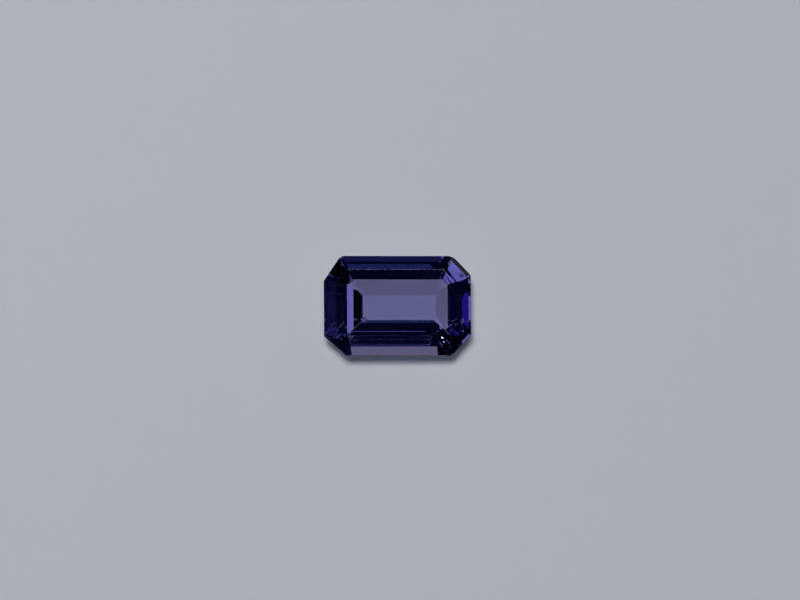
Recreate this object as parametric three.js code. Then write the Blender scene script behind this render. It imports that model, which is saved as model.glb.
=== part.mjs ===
import * as THREE from 'three';

// A clear violet-blue tanzanite, ground from one crystal as an eight-sided step cut.
// Millimetres, +Z up. X runs along the stone's length and Y from its front to its back.
// The stone lies on its culet, the flat facet that is ground across the bottom.
// The origin is on the culet's plane, under the middle of the outline.

// Outline at the girdle, the narrow upright band where the stone is widest.
const LENGTH = 7.5;
const WIDTH = 5;

// Each cut corner takes one leg off the end along X and one off the side along Y.
const CORNER_LEGS = {
  backRight: { x: 0.92, y: 0.96 },
  backLeft: { x: 0.86, y: 1.26 },
  frontLeft: { x: 1.12, y: 0.96 },
  frontRight: { x: 0.98, y: 1.04 },
};

// Heights of the stone's parts, and of their edges above the culet.
const PAVILION_DEPTH = 2.06;
const GIRDLE_THICKNESS = 0.11;
const LOWER_CROWN_HEIGHT = 0.18;
const UPPER_CROWN_HEIGHT = 0.05;
const CULET_Z = 0;
const GIRDLE_BOTTOM_Z = CULET_Z + PAVILION_DEPTH;
const GIRDLE_TOP_Z = GIRDLE_BOTTOM_Z + GIRDLE_THICKNESS;
const CROWN_EDGE_Z = GIRDLE_TOP_Z + LOWER_CROWN_HEIGHT;
const TABLE_Z = CROWN_EDGE_Z + UPPER_CROWN_HEIGHT;

// The steps on each side. The stone was cut by eye, so no two sides agree.
// The crown's step edge and its table edge are given by how far inside the outline they lie.
// The pavilion's facets go down from the girdle. The front left corner has two, the other sides three.
// slope is a facet's angle to the girdle's plane, in degrees. turn swings it round the vertical, in degrees.
// from is how far inside the outline it begins, on the facet above it, in the middle of that side.
const STEPS = {
  right: {
    crown: { edge: 0.56, table: 0.85 },
    pavilion: [{ slope: 75, from: 0 }, { slope: 51, from: 0.13 }, { slope: 41.5, from: 1.01 }],
  },
  backRight: {
    crown: { edge: 0.49, table: 0.87 },
    pavilion: [
      { slope: 67.5, from: 0 },
      { slope: 50.5, from: 0.25, turn: -1 },
      { slope: 36.5, from: 1.08, turn: -8 },
    ],
  },
  back: {
    crown: { edge: 0.41, table: 0.71 },
    pavilion: [{ slope: 78.5, from: 0 }, { slope: 47.5, from: 0.08 }, { slope: 32, from: 1.14 }],
  },
  backLeft: {
    crown: { edge: 0.47, table: 0.72 },
    pavilion: [
      { slope: 78.5, from: 0 },
      { slope: 43, from: 0.1, turn: -7 },
      { slope: 30.5, from: 1.24, turn: 3 },
    ],
  },
  left: {
    crown: { edge: 0.6, table: 1 },
    pavilion: [{ slope: 61, from: 0 }, { slope: 44.5, from: 0.28 }, { slope: 31.5, from: 1.32 }],
  },
  frontLeft: {
    crown: { edge: 0.47, table: 0.77 },
    pavilion: [{ slope: 67.5, from: 0 }, { slope: 52, from: 0.23, turn: 9 }],
  },
  front: {
    crown: { edge: 0.69, table: 0.99 },
    pavilion: [{ slope: 85.5, from: 0 }, { slope: 46.5, from: 0.03 }, { slope: 35.5, from: 1.21 }],
  },
  frontRight: {
    crown: { edge: 0.64, table: 1.15 },
    pavilion: [
      { slope: 72.5, from: 0 },
      { slope: 60, from: 0.14 },
      { slope: 25.5, from: 0.82, turn: 10 },
    ],
  },
};

// Points closer than this are one point, where four or more facets meet.
const SAME_POINT = 1e-4;
// Three planes whose normals span less than this have no useful common point.
const NEARLY_PARALLEL = 1e-6;

// The straight side lines of the outline, each with its outward direction and its middle, in plan.
function outlineSides() {
  const straight = (name, x, y) => ({
    name,
    direction: new THREE.Vector2(x, y),
    middle: new THREE.Vector2(x * LENGTH / 2, y * WIDTH / 2),
  });
  const corner = (name, signX, signY) => {
    const legs = CORNER_LEGS[name];
    return {
      name,
      direction: new THREE.Vector2(signX * legs.y, signY * legs.x).normalize(),
      middle: new THREE.Vector2(signX * (LENGTH - legs.x) / 2, signY * (WIDTH - legs.y) / 2),
    };
  };
  return [
    straight('right', 1, 0),
    corner('backRight', 1, 1),
    straight('back', 0, 1),
    corner('backLeft', -1, 1),
    straight('left', -1, 0),
    corner('frontLeft', -1, -1),
    straight('front', 0, -1),
    corner('frontRight', 1, -1),
  ];
}

// A facet's plane through a point that lies a given inset inside one side's middle, at a height.
function planeAt(side, inset, z, normal) {
  const begin = side.middle.clone().addScaledVector(side.direction, -inset);
  return new THREE.Plane().setFromNormalAndCoplanarPoint(
    normal.normalize(),
    new THREE.Vector3(begin.x, begin.y, z),
  );
}

// The crown facet on one side that rises from one inset and height to the next.
function crownPlane(side, inset, z, nextInset, nextZ) {
  const rise = nextZ - z;
  const normal = new THREE.Vector3(
    side.direction.x * rise,
    side.direction.y * rise,
    nextInset - inset,
  );
  return planeAt(side, inset, z, normal);
}

// The pavilion facets on one side, each beginning on the one above it.
function pavilionPlanes(side, facets) {
  const planes = [];
  let z = GIRDLE_BOTTOM_Z;
  let inset = 0;
  let fall = 0;
  for (const { slope, from, turn = 0 } of facets) {
    z -= fall * (from - inset);
    inset = from;
    const steepness = Math.tan(THREE.MathUtils.degToRad(slope));
    const swing = THREE.MathUtils.degToRad(turn);
    const outward = side.direction.clone().rotateAround(new THREE.Vector2(), swing);
    const normal = new THREE.Vector3(outward.x * steepness, outward.y * steepness, -1);
    planes.push(planeAt(side, inset, z, normal));
    fall = steepness * Math.cos(swing);
  }
  return planes;
}

// Every facet's plane: the table, the culet, the upright girdle and the steps above and below it.
function facetPlanes() {
  const planes = [
    new THREE.Plane(new THREE.Vector3(0, 0, 1), -TABLE_Z),
    new THREE.Plane(new THREE.Vector3(0, 0, -1), CULET_Z),
  ];
  for (const side of outlineSides()) {
    const { crown, pavilion } = STEPS[side.name];
    const upright = new THREE.Vector3(side.direction.x, side.direction.y, 0);
    planes.push(
      planeAt(side, 0, GIRDLE_TOP_Z, upright),
      crownPlane(side, 0, GIRDLE_TOP_Z, crown.edge, CROWN_EDGE_Z),
      crownPlane(side, crown.edge, CROWN_EDGE_Z, crown.table, TABLE_Z),
      ...pavilionPlanes(side, pavilion),
    );
  }
  return planes;
}

// The point where three planes meet, or null where they have none.
function meetingPoint(a, b, c) {
  const bc = new THREE.Vector3().crossVectors(b.normal, c.normal);
  const span = a.normal.dot(bc);
  if (Math.abs(span) < NEARLY_PARALLEL) return null;
  const ca = new THREE.Vector3().crossVectors(c.normal, a.normal);
  const ab = new THREE.Vector3().crossVectors(a.normal, b.normal);
  return bc.multiplyScalar(-a.constant)
    .addScaledVector(ca, -b.constant)
    .addScaledVector(ab, -c.constant)
    .divideScalar(span);
}

// The corners of the solid that all planes leave: meeting points that no plane cuts away.
function cornerPoints(planes) {
  const corners = [];
  const keep = (point) => {
    if (point === null) return;
    if (planes.some((plane) => plane.distanceToPoint(point) > SAME_POINT)) return;
    if (corners.some((corner) => corner.distanceTo(point) < SAME_POINT)) return;
    corners.push(point);
  };
  for (let i = 0; i < planes.length; i += 1) {
    for (let j = i + 1; j < planes.length; j += 1) {
      for (let k = j + 1; k < planes.length; k += 1) {
        keep(meetingPoint(planes[i], planes[j], planes[k]));
      }
    }
  }
  return corners;
}

// The corners of one facet, in order round its normal, counter-clockwise seen from outside.
// A facet that its neighbours leave no room for has none.
function facetLoop(plane, corners) {
  const loop = corners.map((_, index) => index)
    .filter((index) => Math.abs(plane.distanceToPoint(corners[index])) < 2 * SAME_POINT);
  if (loop.length < 3) return [];
  const middle = new THREE.Vector3();
  for (const index of loop) middle.addScaledVector(corners[index], 1 / loop.length);
  const across = new THREE.Vector3().subVectors(corners[loop[0]], middle).normalize();
  const along = new THREE.Vector3().crossVectors(plane.normal, across);
  const angle = (index) => {
    const arm = new THREE.Vector3().subVectors(corners[index], middle);
    return Math.atan2(arm.dot(along), arm.dot(across));
  };
  return loop.sort((first, second) => angle(first) - angle(second));
}

// The stone as one closed body: every facet is a fan of triangles on shared corners.
function stoneGeometry() {
  const planes = facetPlanes();
  const corners = cornerPoints(planes);
  const triangles = [];
  for (const plane of planes) {
    const loop = facetLoop(plane, corners);
    for (let next = 1; next + 1 < loop.length; next += 1) {
      triangles.push(loop[0], loop[next], loop[next + 1]);
    }
  }
  const geometry = new THREE.BufferGeometry().setFromPoints(corners);
  geometry.setIndex(triangles);
  geometry.computeVertexNormals();
  return geometry;
}

// Polished tanzanite: clear, violet-blue, with flat mirror-bright facets.
const polishedTanzanite = new THREE.MeshStandardMaterial({
  color: 0x3b348c,
  roughness: 0.04,
  metalness: 0,
  transparent: true,
  opacity: 0.75,
  flatShading: true,
});

const tanzanite = new THREE.Mesh(stoneGeometry(), polishedTanzanite);
tanzanite.name = 'tanzanite';

const part = new THREE.Group();
part.add(tanzanite);

export default part;
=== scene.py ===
import math
import random

import bpy
from mathutils import Matrix, Vector


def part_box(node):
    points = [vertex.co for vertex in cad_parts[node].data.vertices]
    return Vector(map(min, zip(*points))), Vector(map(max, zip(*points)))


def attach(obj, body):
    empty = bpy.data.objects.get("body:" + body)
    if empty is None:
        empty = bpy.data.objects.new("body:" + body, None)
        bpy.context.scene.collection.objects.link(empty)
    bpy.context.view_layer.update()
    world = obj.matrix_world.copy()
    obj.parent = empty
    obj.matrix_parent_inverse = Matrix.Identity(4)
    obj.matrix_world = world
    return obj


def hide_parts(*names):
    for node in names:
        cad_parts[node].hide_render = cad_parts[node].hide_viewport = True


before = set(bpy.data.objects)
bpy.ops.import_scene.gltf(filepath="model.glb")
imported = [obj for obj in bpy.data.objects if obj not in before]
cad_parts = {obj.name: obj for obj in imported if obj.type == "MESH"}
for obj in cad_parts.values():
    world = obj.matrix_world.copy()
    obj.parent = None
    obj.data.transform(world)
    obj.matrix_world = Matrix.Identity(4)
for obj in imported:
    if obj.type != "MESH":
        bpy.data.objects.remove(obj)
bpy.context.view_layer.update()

# The stone. One natural tanzanite crystal, sawn to a block, ground to an eight-sided outline
# and then cut flat by flat on a lap wheel, each facet polished until it is mirror-bright.
# Its edges are a little worn, because tanzanite is soft for a gem and loose stones rub together.
MM = 0.001
SAW_ALLOWANCE = 0.5 * MM
WORN_EDGE_WIDTHS = (0.010 * MM, 0.026 * MM)
WEAR_SEED = 4
# The outline's two far corners are knocked round. Each has its place in millimetres, the bearings
# of its two sides in degrees, counted from +X towards +Y, and its radius in millimetres.
ROUNDED_CORNERS = [
    ((2.83, 2.50), (43.8, 90), 0.80),
    ((-2.89, 2.50), (90, 145.7), 0.46),
]
# Where the rounding's flats touch its arc, from its middle at 0 to its ends at -1 and 1.
ROUNDING_FLATS = (-0.6, 0, 0.6)
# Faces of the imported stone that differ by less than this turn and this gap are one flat.
SAME_FLAT_TURN = math.radians(3)
SAME_FLAT_GAP = 0.002 * MM
BISECT_THRESHOLD = 1e-8


def ground_flats(node):
    """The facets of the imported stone, as a point on each flat and its outward direction."""
    flats = []
    for face in sorted(node.data.polygons, key=lambda face: face.area, reverse=True):
        known = [flat for flat in flats if flat[1].angle(face.normal) < SAME_FLAT_TURN
                 and abs((face.center - flat[0]).dot(flat[1])) < SAME_FLAT_GAP]
        if not known:
            flats.append((face.center.copy(), face.normal.copy()))
    return flats


def grind(flats):
    """Takes away what lies outside each flat, and closes the cut, in edit mode."""
    bpy.ops.object.mode_set(mode="EDIT")
    for point, outward in flats:
        bpy.ops.mesh.select_all(action="SELECT")
        bpy.ops.mesh.bisect(plane_co=point, plane_no=outward, use_fill=True,
                            clear_outer=True, threshold=BISECT_THRESHOLD)
    bpy.ops.mesh.select_all(action="SELECT")
    bpy.ops.mesh.remove_doubles(threshold=BISECT_THRESHOLD)
    bpy.ops.mesh.normals_make_consistent(inside=False)
    bpy.ops.object.mode_set(mode="OBJECT")


def worn_flats(mesh):
    """A narrow flat along each edge between two facets, as wide as that edge is worn."""
    chance = random.Random(WEAR_SEED)
    sides = {}
    for face in mesh.polygons:
        for edge in face.edge_keys:
            sides.setdefault(edge, []).append(face.normal)
    flats = []
    for (start, end), (one, other) in sides.items():
        edge = mesh.vertices[end].co - mesh.vertices[start].co
        if edge.length > max(WORN_EDGE_WIDTHS):
            outward = (one + other).normalized()
            depth = chance.uniform(*WORN_EDGE_WIDTHS) / 2 * math.tan(one.angle(other) / 2)
            flats.append((mesh.vertices[start].co + edge / 2 - outward * depth, outward))
    return flats


def rounding_flats(corner, bearings, radius):
    """Upright flats that touch an arc of the given radius, which fits into a corner."""
    middle, half = sum(bearings) / 2, (bearings[1] - bearings[0]) / 2
    tip = Vector((corner[0], corner[1], 0)) * MM
    flats = []
    for share in ROUNDING_FLATS:
        swing = math.radians(share * half)
        depth = radius * MM * (math.cos(swing) / math.cos(math.radians(half)) - 1)
        bearing = math.radians(middle) + swing
        outward = Vector((math.cos(bearing), math.sin(bearing), 0))
        flats.append((tip - outward * depth, outward))
    return flats


low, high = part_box("tanzanite")
block = high - low + Vector((1, 1, 1)) * SAW_ALLOWANCE

bpy.ops.object.select_all(action="DESELECT")
bpy.ops.mesh.primitive_cube_add(size=1, location=(low + high) / 2, scale=block)
stone = bpy.context.active_object
stone.name = "faceted_stone"
bpy.ops.object.transform_apply(location=True, rotation=True, scale=True)
grind(ground_flats(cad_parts["tanzanite"]))
grind(worn_flats(stone.data))
for corner, bearings, radius in ROUNDED_CORNERS:
    grind(rounding_flats(corner, bearings, radius))


def linear(hex_colour):
    """An sRGB hex colour as linear red, green, blue and alpha."""
    parts = [int(hex_colour[i:i + 2], 16) / 255 for i in (1, 3, 5)]
    return [c / 12.92 if c <= 0.04045 else ((c + 0.055) / 1.055) ** 2.4 for c in parts] + [1.0]


def add_node(tree, kind, inputs=None, **settings):
    """Adds a node; inputs maps its socket names to values or to sockets that feed them."""
    node = tree.nodes.new(kind)
    for name, value in settings.items():
        setattr(node, name, value)
    for name, value in (inputs or {}).items():
        if isinstance(value, bpy.types.NodeSocket):
            tree.links.new(value, node.inputs[name])
        else:
            node.inputs[name].default_value = value
    return node


# Polished tanzanite: clear violet-blue, refractive index 1.69. The body takes red and green out
# of the light within millimetres, so thin places look pale and long paths deep violet.
# Where it is chipped, the same stone is finely broken, so it looks paler and less clear.
TANZANITE_INDEX = 1.694
ABSORPTION_PER_METRE = 146
ABSORPTION_TINT = (0.07, 0.0, 0.935, 1)
CHIP_ROUGHNESS = 0.55
CHIP_CLEARNESS = 0.85
CHIP_COLOUR = "#D5D6F5"


def tanzanite(name, colour, roughness, clearness):
    """A tanzanite surface over the violet-blue body, and its shader, to be worked on further."""
    material = bpy.data.materials.new(name)
    material.use_nodes = True
    tree = material.node_tree
    tree.nodes.clear()
    surface = add_node(tree, "ShaderNodeBsdfPrincipled", {
        "Base Color": linear(colour),
        "Roughness": roughness,
        "IOR": TANZANITE_INDEX,
        "Transmission Weight": clearness,
    })
    body = add_node(tree, "ShaderNodeVolumeAbsorption", {
        "Color": ABSORPTION_TINT,
        "Density": ABSORPTION_PER_METRE,
    })
    add_node(tree, "ShaderNodeOutputMaterial", {
        "Surface": surface.outputs["BSDF"],
        "Volume": body.outputs["Volume"],
    })
    return material, surface


# The polish. Mirror-bright, with a trace of fine lines along the stone from the lap wheel. They
# catch a little light as a thin haze, and are drawn coarser than real ones, so that they show.
LINE_LENGTH = 2.5 * MM
LINE_SPACING = 0.08 * MM
LINE_STRENGTH = 0.05
LINE_ROUGHNESS = 0.4
FAINTEST_LINE = 0.45
STRONGEST_LINE = 0.75

polished, surface = tanzanite("polished_tanzanite", "#FFFFFF", roughness=0.0, clearness=1.0)
tree = polished.node_tree
on_stone = add_node(tree, "ShaderNodeTexCoord")
stretched = add_node(tree, "ShaderNodeMapping", {
    "Vector": on_stone.outputs["Object"],
    "Scale": (1 / LINE_LENGTH, 1 / LINE_SPACING, 1 / LINE_SPACING),
})
lines = add_node(tree, "ShaderNodeTexNoise", {
    "Vector": stretched.outputs["Vector"],
    "Scale": 1.0,
    "Detail": 3.0,
    "Roughness": 0.6,
})
strength = add_node(tree, "ShaderNodeMapRange", {
    "Value": lines.outputs["Fac"],
    "From Min": FAINTEST_LINE,
    "From Max": STRONGEST_LINE,
    "To Min": 0.0,
    "To Max": LINE_STRENGTH,
})
tree.links.new(strength.outputs["Result"], surface.inputs["Coat Weight"])
surface.inputs["Coat Roughness"].default_value = LINE_ROUGHNESS
stone.data.materials.append(polished)

# The nicks from wear: a ragged row along the far edge of the table, chips at corners and edges,
# and fine scratches on the table. Each is a bite out of the stone, taken out by a small ball.
# Places, radii and offsets are in millimetres here, and turns in degrees.
TABLE_EDGE_NICKS = 60
NICK_SEED = 11
NICK_RADII = ((0.03, 0.12), (0.006, 0.02), (0.006, 0.018))
NICK_OFFSET = (-0.005, 0.015)
NICK_TURN = 10
# The place, the three radii and the turn of each chip and scratch.
CHIPS = [
    ((-2.503, 1.79, 2.40), (0.05, 0.03, 0.025), 0),
    ((2.305, 1.79, 2.40), (0.08, 0.03, 0.025), 0),
    ((2.39, 1.70, 2.40), (0.03, 0.05, 0.02), 0),
    ((2.25, 1.62, 2.40), (0.03, 0.03, 0.015), 0),
    ((2.47, -1.76, 2.356), (0.03, 0.05, 0.02), 20),
    ((2.56, -1.87, 2.336), (0.025, 0.05, 0.02), 20),
    ((2.64, -2.10, 2.275), (0.025, 0.05, 0.02), 20),
    ((2.75, -2.44, 2.185), (0.03, 0.05, 0.03), 20),
    ((-1.50, -0.66, 0.02), (0.11, 0.12, 0.10), 30),
    ((-2.00, -0.66, 0.28), (0.13, 0.05, 0.04), 0),
    ((-2.31, -1.31, 0.46), (0.04, 0.04, 0.03), 0),
    ((2.68, -1.29, 0.44), (0.04, 0.04, 0.03), 0),
    ((-0.33, -0.12, 2.40), (0.95, 0.006, 0.004), 0.4),
    ((0.79, 0.36, 2.40), (0.012, 0.09, 0.006), -10),
    ((0.85, 0.24, 2.40), (0.012, 0.08, 0.006), 35),
    ((0.90, 0.42, 2.40), (0.03, 0.03, 0.008), 0),
]

on_table = [v.co for v in stone.data.vertices if v.co.z > high.z - SAME_FLAT_GAP]
far_edge = max(co.y for co in on_table)
far_corners = [co.x for co in on_table if co.y > far_edge - max(WORN_EDGE_WIDTHS)]
chance = random.Random(NICK_SEED)
bites = []
for _ in range(TABLE_EDGE_NICKS):
    along = chance.uniform(min(far_corners), max(far_corners))
    place = (along, far_edge + chance.uniform(*NICK_OFFSET) * MM, high.z)
    radii = [chance.uniform(*span) * MM for span in NICK_RADII]
    bites.append((place, radii, chance.uniform(-NICK_TURN, NICK_TURN)))
for place, radii, turn in CHIPS:
    bites.append(([mm * MM for mm in place], [mm * MM for mm in radii], turn))

bpy.ops.object.select_all(action="DESELECT")
cutters = []
for place, radii, turn in bites:
    bpy.ops.mesh.primitive_ico_sphere_add(subdivisions=2, radius=1, location=place, scale=radii,
                                          rotation=(0, 0, math.radians(turn)))
    cutters.append(bpy.context.active_object)
for cutter in cutters:
    cutter.select_set(True)
bpy.context.view_layer.objects.active = cutters[0]
bpy.ops.object.join()
cutter = bpy.context.active_object
bpy.ops.object.transform_apply(location=True, rotation=True, scale=True)
chipped, _ = tanzanite("chipped_tanzanite", CHIP_COLOUR, CHIP_ROUGHNESS, CHIP_CLEARNESS)
cutter.data.materials.append(chipped)
bpy.ops.object.select_all(action="DESELECT")
stone.select_set(True)
bpy.context.view_layer.objects.active = stone
nicks = stone.modifiers.new("nicks", "BOOLEAN")
nicks.operation = "DIFFERENCE"
nicks.solver = "EXACT"
nicks.use_self = True
nicks.material_mode = "TRANSFER"
nicks.object = cutter
bpy.ops.object.modifier_apply(modifier=nicks.name)
bpy.data.objects.remove(cutter)

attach(stone, "root")
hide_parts("tanzanite")

# The floor. Plain, pale and matt, with the smallest gap under the stone so that air lies between.
# Light spreads a little way inside it, so it also glows faintly where the stone shades it.
FLOOR_SIZE = 0.6
FLOOR_GAP = 0.01 * MM
FLOOR_GLOW_DEPTH = 0.35 * MM
FLOOR_GLOW_SHARE = 0.5
FLOOR_COLOUR = "#F6F8FB"

bpy.ops.object.select_all(action="DESELECT")
bpy.ops.mesh.primitive_plane_add(size=FLOOR_SIZE, location=(0, 0, -FLOOR_GAP))
floor = bpy.context.active_object
floor.name = "pale_floor"
bpy.ops.object.transform_apply(location=True, rotation=True, scale=True)
matt = bpy.data.materials.new("matt_pale_floor")
matt.use_nodes = True
matt_shader = matt.node_tree.nodes["Principled BSDF"]
matt_shader.inputs["Base Color"].default_value = linear(FLOOR_COLOUR)
matt_shader.inputs["Roughness"].default_value = 1.0
matt_shader.inputs["Specular IOR Level"].default_value = 0.0
matt_shader.inputs["Subsurface Weight"].default_value = FLOOR_GLOW_SHARE
matt_shader.inputs["Subsurface Radius"].default_value = (1.0, 1.0, 1.0)
matt_shader.inputs["Subsurface Scale"].default_value = FLOOR_GLOW_DEPTH
floor.data.materials.append(matt)

# The camera looks almost straight down on the table, a little from the front and the left.
# Its distance gives the stone its size in the picture, and its aim sets it off the middle.
FRAME_WIDTH_PX = 800
PX_PER_MM = 19.92
LENS_MM = 180
SENSOR_MM = 36
NEAREST_SEEN = 0.01
GIRDLE_BELOW_TABLE = 0.285 * MM
LEAN_FRONT = math.radians(2)
LEAN_LEFT = math.radians(10.75)
ROLL = math.radians(0.4)
STONE_OFF_CENTRE_PX = (-2.5, 5.7)

back = Vector((-math.tan(LEAN_LEFT), -math.tan(LEAN_FRONT), 1)).normalized()
up = (Vector((0, 1, 0)) - back.y * back).normalized()
right = up.cross(back)
right, up = (right * math.cos(ROLL) - up * math.sin(ROLL),
             up * math.cos(ROLL) + right * math.sin(ROLL))
girdle_middle = Vector((0, 0, high.z - GIRDLE_BELOW_TABLE))
off_x, off_y = (px / PX_PER_MM * MM for px in STONE_OFF_CENTRE_PX)
aim = girdle_middle - right * off_x + up * off_y
distance = FRAME_WIDTH_PX / PX_PER_MM * MM * LENS_MM / SENSOR_MM

camera_data = bpy.data.cameras.new("camera")
camera_data.lens = LENS_MM
camera_data.sensor_width = SENSOR_MM
camera_data.clip_start = NEAREST_SEEN
camera = bpy.data.objects.new("camera", camera_data)
bpy.context.collection.objects.link(camera)
facing = Matrix((right, up, back)).transposed()
camera.matrix_world = Matrix.Translation(aim + back * distance) @ facing.to_4x4()
bpy.context.scene.camera = camera

# The light. A soft key lamp high at the back left gives the short shadow in front. Weak broad
# lamps stand round the stone, because clear facets look dark where they throw back an unlit place.
LAMP_DISTANCE = 0.5
# Each has its height and bearing in degrees, its width in metres, its radiance and its colour.
LAMPS = {
    "soft_key": (74, 146, 0.09, 60, "#F6FAFF"),
    "back_low": (24, 78, 0.25, 0.25, "#FFF9F9"),
    "back_middle": (43, 48, 0.28, 0.32, "#E7E7FF"),
    "back_high": (69.5, 57, 0.07, 0.08, "#95AAFF"),
    "front_low": (25, 265, 0.2, 0.15, "#FFFFFF"),
    "front_floor": (13, 283, 0.12, 0.045, "#8995FF"),
    "front_middle": (45, 282, 0.15, 0.3, "#6F95FF"),
    "front_right": (15, 335, 0.2, 0.16, "#CBDAFF"),
    "left_middle": (46, 161, 0.12, 0.1, "#6C7CFF"),
    "left_high": (67.5, 177, 0.045, 0.17, "#7C59FF"),
}
ROOM_COLOUR = "#6078FF"
ROOM_RADIANCE = 0.01

for name, (height, bearing, width, radiance, colour) in LAMPS.items():
    lamp_data = bpy.data.lights.new(name, "AREA")
    lamp_data.shape = "DISK"
    lamp_data.size = width
    lamp_data.color = linear(colour)[:3]
    lamp_data.energy = radiance * (math.pi * width / 2) ** 2
    lamp = bpy.data.objects.new(name, lamp_data)
    bpy.context.collection.objects.link(lamp)
    height, bearing = math.radians(height), math.radians(bearing)
    lamp_from = Vector((math.cos(height) * math.cos(bearing),
                        math.cos(height) * math.sin(bearing), math.sin(height)))
    lamp.location = lamp_from * LAMP_DISTANCE
    lamp.rotation_mode = "QUATERNION"
    lamp.rotation_quaternion = lamp_from.to_track_quat("Z", "Y")
room = bpy.data.worlds.new("dim_room")
room.use_nodes = True
room.node_tree.nodes["Background"].inputs["Color"].default_value = linear(ROOM_COLOUR)
room.node_tree.nodes["Background"].inputs["Strength"].default_value = ROOM_RADIANCE
bpy.context.scene.world = room
bpy.context.scene.view_settings.view_transform = "Standard"
